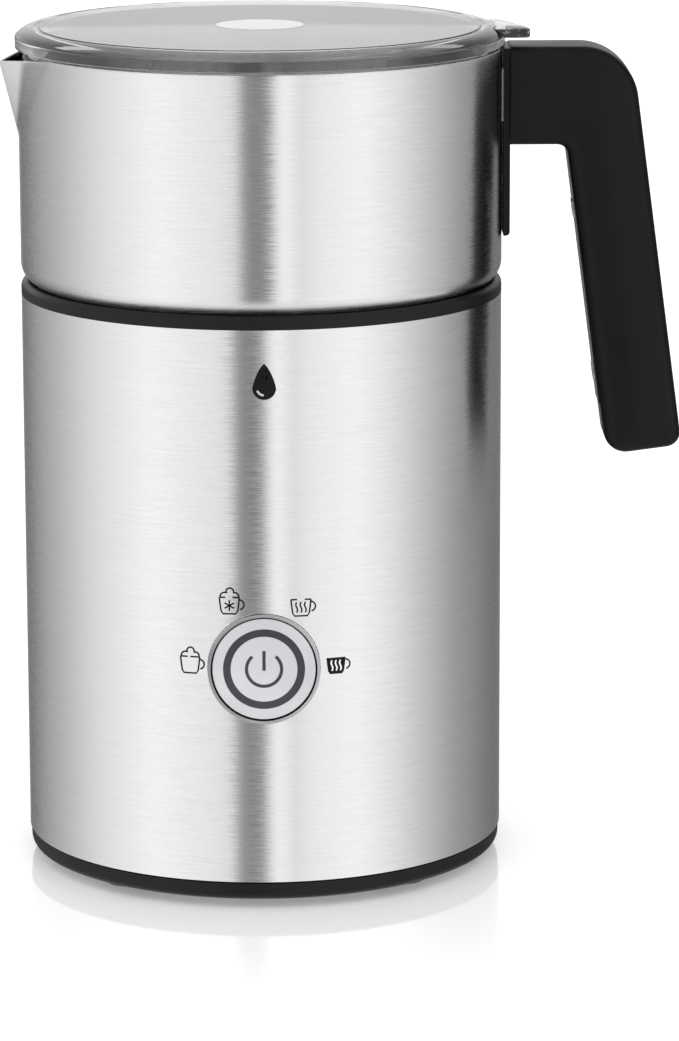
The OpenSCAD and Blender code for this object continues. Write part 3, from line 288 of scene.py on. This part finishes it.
def make_materials():
    """One material for each of the record's slots."""
    made = {
        "brushed_sleeve": brushed_steel("sleeve_brushed", 0.0),
        "jug_steel": brushed_steel("jug_brushed", 7.0, turn=-0.035),
        "clear_lid": clear_plastic("lid_clear"),
        # the handle's finish carries painted light and shade that follow which way the surface faces
        "handle_black": handle_black("handle_grain_painted_light"),
    }
    # slot: colour, accent, roughness range, grain in mm, bump, metallic
    plain = {
        "black_ring": ((0.006, 0.006, 0.007), (0.010, 0.010, 0.011), (0.3, 0.42), 0.35, 0.12, 0),
        "inner_plastic": ((0.045, 0.045, 0.05), (0.07, 0.07, 0.075), (0.5, 0.62), 0.6, 0.2, 0),
        "foot_rubber": ((0.015, 0.015, 0.015), (0.03, 0.03, 0.03), (0.7, 0.85), 0.5, 0.3, 0),
        "seal_silicone": ((0.03, 0.03, 0.032), (0.05, 0.05, 0.052), (0.4, 0.55), 0.7, 0.1, 0),
        "inlay_steel": ((0.80, 0.80, 0.81), (0.86, 0.86, 0.86), (0.26, 0.34), 0.25, 0.05, 1),
        "bezel_chrome": ((0.75, 0.75, 0.77), (0.82, 0.82, 0.83), (0.06, 0.12), 0.4, 0.02, 1),
        "button_silver": ((0.62, 0.63, 0.66), (0.74, 0.74, 0.76), (0.3, 0.4), 0.2, 0.05, 0.35),
        "light_window": ((0.035, 0.037, 0.04), (0.05, 0.052, 0.056), (0.12, 0.2), 0.4, 0.03, 0),
        "bright_steel": ((0.62, 0.62, 0.63), (0.72, 0.72, 0.72), (0.14, 0.24), 0.3, 0.05, 1),
        "zinc_steel": ((0.48, 0.49, 0.5), (0.62, 0.62, 0.6), (0.3, 0.45), 0.5, 0.1, 1),
        "disc_steel": ((0.42, 0.42, 0.43), (0.52, 0.52, 0.52), (0.34, 0.44), 0.4, 0.1, 1),
        "whisk_plastic": ((0.03, 0.03, 0.032), (0.05, 0.05, 0.052), (0.35, 0.5), 0.4, 0.1, 0),
        "white_plastic": ((0.66, 0.66, 0.63), (0.74, 0.74, 0.72), (0.35, 0.5), 0.5, 0.08, 0),
        "magnet_nickel": ((0.55, 0.54, 0.5), (0.65, 0.64, 0.6), (0.15, 0.28), 0.4, 0.06, 1),
        "ferrite": ((0.03, 0.03, 0.033), (0.055, 0.055, 0.06), (0.6, 0.8), 0.35, 0.4, 0),
        "carrier_mica": ((0.40, 0.34, 0.24), (0.5, 0.44, 0.33), (0.5, 0.65), 0.8, 0.2, 0),
        "copper_coil": ((0.52, 0.19, 0.07), (0.68, 0.29, 0.12), (0.22, 0.35), 0.8, 0.5, 1),
        "bronze": ((0.36, 0.22, 0.09), (0.48, 0.32, 0.15), (0.4, 0.6), 0.3, 0.4, 1),
        "board_green": ((0.01, 0.10, 0.035), (0.02, 0.15, 0.06), (0.25, 0.4), 1.6, 0.15, 0),
        "capacitor_sleeve": ((0.012, 0.018, 0.05), (0.02, 0.03, 0.08), (0.2, 0.3), 1.0, 0.08, 0),
        "capacitor_box": ((0.50, 0.32, 0.03), (0.6, 0.42, 0.07), (0.3, 0.4), 0.8, 0.08, 0),
        "sink_aluminium": ((0.6, 0.6, 0.61), (0.7, 0.7, 0.7), (0.3, 0.45), 0.3, 0.12, 1),
        "chip_black": ((0.012, 0.012, 0.013), (0.025, 0.025, 0.026), (0.4, 0.6), 0.3, 0.2, 0),
        "terminal_green": ((0.02, 0.16, 0.06), (0.04, 0.22, 0.1), (0.35, 0.5), 0.5, 0.1, 0),
        "led_white": ((0.75, 0.78, 0.82), (0.85, 0.87, 0.9), (0.12, 0.2), 0.5, 0.03, 0),
    }
    specular = {"black_ring": 0.18, "foot_rubber": 0.2, "chip_black": 0.3}
    for slot, (colour, accent, roughness, grain, bump, metallic) in plain.items():
        made[slot] = moulded(slot + "_finish", colour, accent, roughness, grain, bump, float(metallic),
                             specular.get(slot, 0.5))
    return made


def paint_nodes(materials):
    """Gives every CAD node the material of its slot in the record."""
    for part in frame["record"]["subparts"]:
        node = frame["nodes"][part["node"]]
        node.data.materials.clear()
        node.data.materials.append(materials[part["material_slot"]])


# ---------------------------------------------------------------- mesh tools

def add_piece(name, vertices, faces, slot, body, materials, replaces=(), sharp=math.radians(35)):
    """A mesh piece with tidy normals that rides on a body and takes its finish from a slot."""
    mesh = bpy.data.meshes.new(name)
    mesh.from_pydata([tuple(v) for v in vertices], [], faces)
    build = bmesh.new()
    build.from_mesh(mesh)
    bmesh.ops.remove_doubles(build, verts=build.verts, dist=0.002 * MM)
    bmesh.ops.recalc_face_normals(build, faces=build.faces)
    build.to_mesh(mesh)
    build.free()
    mesh.shade_smooth()
    mesh.set_sharp_from_angle(angle=sharp)
    mesh.materials.append(materials[slot])
    piece = bpy.data.objects.new(name, mesh)
    bpy.context.scene.collection.objects.link(piece)
    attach(piece, body)
    if replaces:
        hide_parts(*replaces)
    return piece


def loft(rings, closed=True, caps=True):
    """Faces between rings that hold the same number of points. closed joins the last ring to the first."""
    count = len(rings[0])
    vertices = [point for ring in rings for point in ring]
    faces = []
    pairs = len(rings) if closed else len(rings) - 1
    for i in range(pairs):
        a, b = i * count, (i + 1) % len(rings) * count
        for j in range(count):
            k = (j + 1) % count
            faces.append((a + j, a + k, b + k, b + j))
    if caps and not closed:
        faces.append(tuple(range(count)))
        faces.append(tuple(range(len(vertices) - count, len(vertices))))
    return vertices, faces


def revolve(profile, steps=STEPS):
    """A closed profile of (radius, height) turned round the Z axis."""
    turns = [2 * math.pi * i / steps for i in range(steps)]
    rings = [[(r * math.cos(a), r * math.sin(a), z) for r, z in profile] for a in turns]
    return loft(rings)


def arc(cx, cy, r, start, end, steps=8):
    """Points of an arc, from one angle to another in degrees."""
    angles = [math.radians(start + (end - start) * i / steps) for i in range(steps + 1)]
    return [(cx + r * math.cos(a), cy + r * math.sin(a)) for a in angles]


def apply_modifiers(piece):
    """Turns what the modifiers make into the piece's own mesh."""
    graph = bpy.context.evaluated_depsgraph_get()
    made = bpy.data.meshes.new_from_object(piece.evaluated_get(graph))
    piece.modifiers.clear()
    piece.data = made


def cut(piece, tool, operation="DIFFERENCE"):
    """Takes the tool out of the piece, or joins it on, and deletes the tool."""
    change = piece.modifiers.new("cut", "BOOLEAN")
    change.operation = operation
    change.solver = "EXACT"
    change.object = tool
    apply_modifiers(piece)
    bpy.data.objects.remove(tool)


def smoothstep(low, high, value):
    t = min(max((value - low) / (high - low), 0), 1)
    return t * t * (3 - 2 * t)


# ---------------------------------------------------------------- jug

JUG_WALL = 1.0 * MM
JUG_CORNER = 5.5 * MM
SPOUT_LOW_Z = RIM_Z - 24.2 * MM              # where the spout's crease leaves the wall
SPOUT_DROP = 3.8 * MM
SPOUT_TIP_Z = RIM_Z - SPOUT_DROP
SPOUT_REACH = -JUG_LOW.x - BASE_R
SPOUT_ANGLE = math.radians(32)               # how far round the wall each side of the spout reaches


def jug_radius(turn, z):
    """Outside radius at an angle from the spout and a height: two pressed sides meet in a soft crease."""
    reach = SPOUT_REACH
    rise = (z - SPOUT_LOW_Z) / (SPOUT_TIP_Z - SPOUT_LOW_Z)
    if rise <= 0.001:
        return BASE_R
    tip = BASE_R + reach * rise
    side = SPOUT_ANGLE * math.sqrt(min(rise, 1.2) / 1.2)
    bearing = math.sqrt(turn * turn + math.radians(1.2) ** 2 * min(rise, 1)) - math.radians(0.35)
    across = math.atan2(BASE_R * math.sin(side), tip - BASE_R * math.cos(side))
    line = tip * math.sin(across) / math.sin(across + bearing)
    merge = smoothstep(side - math.radians(1.0), side + math.radians(2.0), abs(turn))
    return line * (1 - merge) + BASE_R * merge


def rim_height(turn):
    """Height of the rim, which dips towards the spout's tip."""
    out = jug_radius(turn, RIM_Z) * math.cos(turn)
    dip_start = BASE_R * math.cos(SPOUT_ANGLE)
    share = min(max((out - dip_start) / (-JUG_LOW.x - dip_start), 0), 1)
    return RIM_Z - SPOUT_DROP * share if abs(turn) < math.pi / 2 else RIM_Z


def jug_turns():
    """Angles from the spout all the way round, closer together at the spout."""
    near = [math.radians(0.5 * i) for i in range(-80, 80)]
    far = [math.radians(40 + 2 * i) for i in range(140)]
    return near + far


def make_jug(materials):
    corner_z = JUG_LOW.z + JUG_CORNER
    levels = 30
    edge = JUG_WALL / 2
    rings = []
    for turn in jug_turns():
        top = rim_height(turn) - edge
        heights = [corner_z + (top - corner_z) * (i / levels) ** 0.7 for i in range(1, levels + 1)]
        outer = [(r * MM, JUG_LOW.z) for r in (0, 20, 40, 56)]
        outer += arc(BASE_R - JUG_CORNER, corner_z, JUG_CORNER, -90, 0, 12)
        outer += [(jug_radius(turn, z), z) for z in heights]
        rim = arc(outer[-1][0] - edge, top, edge, 30, 150, 4)
        inner = [(jug_radius(turn, z) - JUG_WALL, z) for z in reversed(heights)]
        inner += arc(BASE_R - JUG_CORNER, corner_z, JUG_CORNER - JUG_WALL, 0, -90, 12)
        inner += [(r * MM, JUG_LOW.z + JUG_WALL) for r in (56, 40, 20, 0)]
        profile = outer + rim + inner
        c, s = -math.cos(turn), math.sin(turn)
        rings.append([(r * c, r * s, z) for r, z in profile])
    vertices, faces = loft(rings)
    add_piece("jug", vertices, faces, "jug_steel", "jug", materials, ["jug_body"])


# ---------------------------------------------------------------- lid

def make_lid(materials):
    """The clear lid: a rounded edge, a skirt that drops into the jug, and a thumb tab."""
    radius = LID_HIGH.y
    flat_r = BASE_R - 5 * MM
    rest_z = RIM_Z + 0.3 * MM
    edge_z = rest_z + 2.3 * MM
    skirt_z, skirt_r, skirt_wall = LID_LOW.z, BASE_R - 2.4 * MM, 2 * MM
    inlay_low, inlay_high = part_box("lid_inlay")
    inlay_r = inlay_high.y + 0.05 * MM
    top_z = LID_HIGH.z
    groove_w, groove_d = 0.9 * MM, 0.35 * MM
    groove_z = top_z - groove_d
    edge = [(flat_r - groove_w, top_z), (flat_r - groove_w * 0.6, groove_z), (flat_r, groove_z)]
    for i in range(2, 21):
        a = math.radians(90 * i / 20)
        ledge = 0.3 * MM * (1 - smoothstep(0.78, 0.86, i / 20))
        edge_r = flat_r + (radius - flat_r) * math.sin(a) - ledge
        edge.append((edge_r, edge_z + (top_z - edge_z) * math.cos(a)))
    profile = [(0, inlay_low.z), (inlay_r, inlay_low.z), (inlay_r, top_z)]
    profile += edge
    profile += [(radius, rest_z), (skirt_r, rest_z)]
    profile += arc(skirt_r - 0.5 * MM, skirt_z + 0.5 * MM, 0.5 * MM, 0, -90, 4)
    profile += arc(skirt_r - skirt_wall + 0.5 * MM, skirt_z + 0.5 * MM, 0.5 * MM, -90, -180, 4)
    profile += arc(skirt_r - skirt_wall - 1.2 * MM, top_z - 3.2 * MM, 1.2 * MM, 0, 90, 5)
    profile += [(0, top_z - 2 * MM)]
    vertices, faces = revolve(profile, 256)
    lid = add_piece("lid_shell", vertices, faces, "clear_lid", "lid", materials, ["lid"])
    front_y, back_y, corner_r, curve_r, lean = -10.3 * MM, 14.4 * MM, 1.6 * MM, 75 * MM, 10
    corner_x, corner_y = LID_HIGH.x - corner_r, front_y + corner_r
    curve_x = corner_x - (curve_r - corner_r) * math.cos(math.radians(lean))
    curve_y = corner_y - (curve_r - corner_r) * math.sin(math.radians(lean))
    curve_end = math.degrees(math.asin((back_y - curve_y) / curve_r))
    outline = [(BASE_R - 3 * MM, back_y), (BASE_R - 3 * MM, front_y)]
    outline += arc(corner_x, corner_y, corner_r, -90, lean, 6)
    outline += arc(curve_x, curve_y, curve_r, lean + 2, curve_end, 10)
    rounding = [(0.0, 0.5), (0.15, 0.15), (0.5, 0.0)]
    thick = 2.4
    layers = [(h, i) for h, i in rounding] + [(thick - h, i) for h, i in reversed(rounding)]
    tab_top = top_z - 0.4 * MM
    middle = Vector((BASE_R + 2 * MM, 1 * MM))
    rings = []
    for height, inset in layers:
        ring = []
        for x, y in outline:
            away = Vector((x, y)) - middle
            short = away - away.normalized() * inset * MM
            ring.append((middle.x + short.x, middle.y + short.y, tab_top - thick * MM + height * MM))
        rings.append(ring)
    vertices, faces = loft(rings, closed=False)
    tab = add_piece("tab", vertices, faces, "clear_lid", "lid", materials)
    cut(lid, tab, "UNION")
    lid.data.shade_smooth()
    lid.data.set_sharp_from_angle(angle=math.radians(35))


# ---------------------------------------------------------------- handle

HANDLE_CORNER = 15.5 * MM
ARM_H = 26.4 * MM
GRIP_T = 20.6 * MM
SPLAY = math.radians(7.4)
GRIP_OUT = BASE_R + 37.9 * MM                # outside of the grip, level with the arm's underside
GRIP_DROP = ARM_H + 85 * MM


def grip_line(z):
    """Outside of the leaning grip at a height."""
    return GRIP_OUT + (HANDLE_HIGH.z - ARM_H - z) * math.tan(SPLAY)


def grip_end(across, along):
    """A point at the grip's end: across from its outer face, and along from its end."""
    end_z = HANDLE_HIGH.z - GRIP_DROP
    x = grip_line(end_z) - across * math.cos(SPLAY) - along * math.sin(SPLAY)
    return x, end_z + (GRIP_T - across) * math.sin(SPLAY) + along * math.cos(SPLAY)


def handle_outline(outer, inner):
    """Side outline in X and Z, moved in by outer at the top and outside, and by inner on the hand's side."""
    lean = math.degrees(SPLAY)
    top, under = HANDLE_HIGH.z, HANDLE_HIGH.z - ARM_H
    corner_z = top - HANDLE_CORNER
    corner_x = grip_line(corner_z + HANDLE_CORNER * math.sin(SPLAY)) - HANDLE_CORNER * math.cos(SPLAY)
    fold = 3 * MM
    fold_z = under - fold
    fold_x = grip_line(fold_z) - GRIP_T / math.cos(SPLAY) - fold / math.cos(SPLAY)
    heel_r = max(6 * MM - inner, 1 * MM)
    toe_r = max(4 * MM - outer, 1 * MM)
    heel = grip_end(GRIP_T - inner - heel_r, outer + heel_r)
    toe = grip_end(outer + toe_r, outer + toe_r)
    start = HANDLE_LOW.x
    points = [(start, top - outer), (start + 8 * MM, top - outer)]
    points += arc(corner_x, corner_z, HANDLE_CORNER - outer, 90, lean, 24)
    points += arc(*toe, toe_r, lean, lean - 90, 8)
    points += arc(*heel, heel_r, lean - 90, lean - 180, 10)
    points += arc(fold_x, fold_z, fold + inner, lean, 90, 8)
    points += [(start + 8 * MM, under + inner), (start, under + inner)]
    return [(min(x, HANDLE_HIGH.x), z) for x, z in points]


def make_handle(materials):
    """The handle's shell: crowned sides, a rounded outer edge and a wider rounding on the hand's side."""
    half = HANDLE_HIGH.y
    flat = 7 * MM                            # the inner cover lies flush between these
    crown = 0.5 * MM
    outer_r, inner_r = 3.2 * MM, 5.5 * MM
    layers = []
    for a in range(0, 91, 9):
        away = 1 - math.cos(math.radians(a))
        y = flat + (half - crown - flat) * math.sin(math.radians(a))
        layers.append((outer_r * away, inner_r * away, y))
    layers += [(6.2 * MM, 7.4 * MM, half - crown / 3), (8.6 * MM, 9 * MM, half)]
    layers = [(outer, inner, -y) for outer, inner, y in reversed(layers)] + layers
    rings = [[(x, y, z) for x, z in handle_outline(outer, inner)] for outer, inner, y in layers]
    vertices, faces = loft(rings, closed=False)
    add_piece("handle", vertices, faces, "handle_black", "jug", materials, ["handle_shell"])


# ---------------------------------------------------------------- whisk

def make_whisk_coil(materials):
    """A ring of coiled wire round the whisk's hub."""
    low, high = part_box("whisk_coil")
    tube = (high.z - low.z) / 2
    ring = high.y - tube
    wire = 0.45 * MM
    turns, per_turn, sides = 64, 14, 6
    middle_z = (high.z + low.z) / 2
    rings = []
    total = turns * per_turn
    for i in range(total):
        around = 2 * math.pi * i / total
        coil = 2 * math.pi * i / per_turn
        out = Vector((math.cos(around), math.sin(around), 0))
        up = Vector((0, 0, 1))
        spoke = out * math.cos(coil) + up * math.sin(coil)
        centre = out * ring + spoke * (tube - wire) + up * middle_z
        ahead = Vector((-out.y, out.x, 0)) * ring / turns
        ahead += (up * math.cos(coil) - out * math.sin(coil)) * tube
        side = ahead.cross(spoke).normalized()
        rings.append([centre + (spoke * math.cos(t) + side * math.sin(t)) * wire
                      for t in (2 * math.pi * k / sides for k in range(sides))])
    vertices, faces = loft(rings)
    add_piece("whisk_wire", vertices, faces, "bright_steel", "whisk", materials, ["whisk_coil"])


# ---------------------------------------------------------------- marks on the front

MARK_LIFT = 0.05 * MM


def ribbon(points, width, closed=False):
    """A flat line of a width through 2-D points: its left and right edges."""
    count = len(points)
    left, right = [], []
    for i, (x, y) in enumerate(points):
        a = points[i - 1] if i > 0 or closed else points[i]
        b = points[(i + 1) % count] if i < count - 1 or closed else points[i]
        ahead = Vector((b[0] - a[0], b[1] - a[1])).normalized()
        left.append((x - ahead.y * width / 2, y + ahead.x * width / 2))
        right.append((x + ahead.y * width / 2, y - ahead.x * width / 2))
    return left, right


def band(left, right, closed, place):
    """A thin solid between two edges, laid on a surface by place(u, v, lift)."""
    rings = []
    for (lx, ly), (rx, ry) in zip(left, right):
        rings.append([place(lx, ly, MARK_LIFT), place(rx, ry, MARK_LIFT), place(rx, ry, 0), place(lx, ly, 0)])
    return loft(rings, closed=closed)


def on_sleeve(u, v, lift):
    """A point u along the sleeve from its front line and v above the floor."""
    angle = u / BASE_R
    r = BASE_R + lift
    return (r * math.sin(angle), -r * math.cos(angle), v)


def on_button(u, v, lift):
    """A point on the button's front face."""
    return (u, CAP_LOW.y - lift, BUTTON_Z + v)


def joined(parts):
    """Several (vertices, faces) as one."""
    vertices, faces = [], []
    for some, joins in parts:
        start = len(vertices)
        vertices += some
        faces += [tuple(start + i for i in face) for face in joins]
    return vertices, faces


def sheet(left, right, place, strips=8):
    """A filled shape between two edges, in upright strips that follow a curved surface."""
    parts = []
    for i in range(strips):
        edges = []
        for share in (i / strips, (i + 1) / strips):
            edges.append([(a[0] + (b[0] - a[0]) * share, a[1] + (b[1] - a[1]) * share)
                          for a, b in zip(left, right)])
        parts.append(band(*edges, False, place))
    return joined(parts)


def make_power_mark(materials):
    """A broken ring and a bar, the usual sign for on and off."""
    ring = [(x * MM, y * MM) for x, y in arc(0, 0, 4.6, 90 + 42, 450 - 42, 48)]
    bar = [(0, -0.4 * MM), (0, 4.9 * MM)]
    parts = [band(*ribbon(line, 0.85 * MM), False, on_button) for line in (ring, bar)]
    vertices, faces = joined(parts)
    add_piece("power_mark", vertices, faces, "light_window", "button", materials)


def at(points, u, v):
    """Points in millimetres, moved to a place on the sleeve."""
    return [((u + x) * MM, (v + y) * MM) for x, y in points]


def steam():
    """Three wavy lines that rise inside a cup."""
    lines = []
    for middle in (-1.15, 0, 1.15):
        lines.append([(middle + 0.22 * math.sin(math.radians(h * 36)), -2.3 + 0.28 * h) for h in range(11)])
    return lines


def snowflake():
    """Three bars that cross in the cup."""
    spokes = []
    for a in (30, 90, 150):
        x, y = 1.45 * math.cos(math.radians(a)), 1.45 * math.sin(math.radians(a))
        spokes.append([(-x, -1.0 - y), (x, -1.0 + y)])
    return spokes


CUP_LINE = 0.42
CUP_SIDE = [(-2.65, 1.2), (-2.45, -0.6), (-2.2, -2.4), (-1.7, -3.2)]


def cup_lines(foam):
    """A cup with its ear, and with foam above it or a closed top."""
    side = CUP_SIDE + [(-x, y) for x, y in reversed(CUP_SIDE)]
    ear = arc(2.55, -0.7, 1.3, 85, -80, 12)
    lines = [side, ear, [(-2.65, 1.2), (2.65, 1.2)]]
    if foam:
        lines.append(arc(-1.2, 1.3, 1.25, 190, 60, 10) + arc(0.15, 2.75, 1.0, 200, -20, 12)[1:]
                     + arc(1.35, 1.4, 1.15, 80, -10, 8))
    return lines


def make_programme_marks(materials):
    """Four plain cup signs round the button: warm or cold, with or without foam."""
    place = on_sleeve
    dark = []
    cups = ((-19.7, 67.3, True, []), (-9.0, 83.7, True, snowflake()), (9.8, 83.0, False, steam()))
    for u, v, foam, inside in cups:
        lines = cup_lines(foam) + inside
        dark += [band(*ribbon(at(line, u, v), CUP_LINE * MM), False, place) for line in lines]
    u, v = 19.2, 66.8
    right_side = [(-x, y) for x, y in CUP_SIDE]
    dark.append(sheet(at(CUP_SIDE, u, v), at(right_side, u, v), place))
    dark.append(band(*ribbon(at(cup_lines(False)[1], u, v), CUP_LINE * MM), False, place))
    vertices, faces = joined(dark)
    add_piece("programme_marks", vertices, faces, "handle_black", "base", materials)
    light = [band(*ribbon(at(line, u, v), CUP_LINE * MM), False, above_sleeve) for line in steam()]
    vertices, faces = joined(light)
    add_piece("steam_mark", vertices, faces, "inlay_steel", "base", materials)


def above_sleeve(u, v, lift):
    """A point on the sleeve, on top of another mark."""
    return on_sleeve(u, v, lift + MARK_LIFT)


def make_emblem(materials):
    """A plain milk drop near the top of the sleeve."""
    middle_z, drop_r, tip = 140.6, 3.1, 6.4
    edge = []
    for i in range(33):
        a = math.radians(-90 + 180 * i / 32)
        rise = drop_r * math.sin(a)
        half_w = drop_r * math.cos(a)
        if a > 0:
            rise = tip * math.sin(a)
            half_w = drop_r * (1 - math.sin(a)) ** 0.8 * (1 + 0.35 * math.sin(a))
        edge.append((max(half_w, 0.02), rise))
    left = at([(-w, h) for w, h in edge], 0.5, middle_z)
    right = at(edge, 0.5, middle_z)
    vertices, faces = sheet(left, right, on_sleeve)
    add_piece("drop_emblem", vertices, faces, "handle_black", "base", materials)
    gleam = band(*ribbon(at(arc(0, 0, 1.9, 200, 265, 10), 0.5, middle_z), 0.55 * MM), False, above_sleeve)
    add_piece("drop_gleam", *gleam, "inlay_steel", "base", materials)


make_camera()
make_studio()
make_floor()
materials = make_materials()
paint_nodes(materials)
make_jug(materials)
make_lid(materials)
make_handle(materials)
make_whisk_coil(materials)
make_power_mark(materials)
make_programme_marks(materials)
make_emblem(materials)
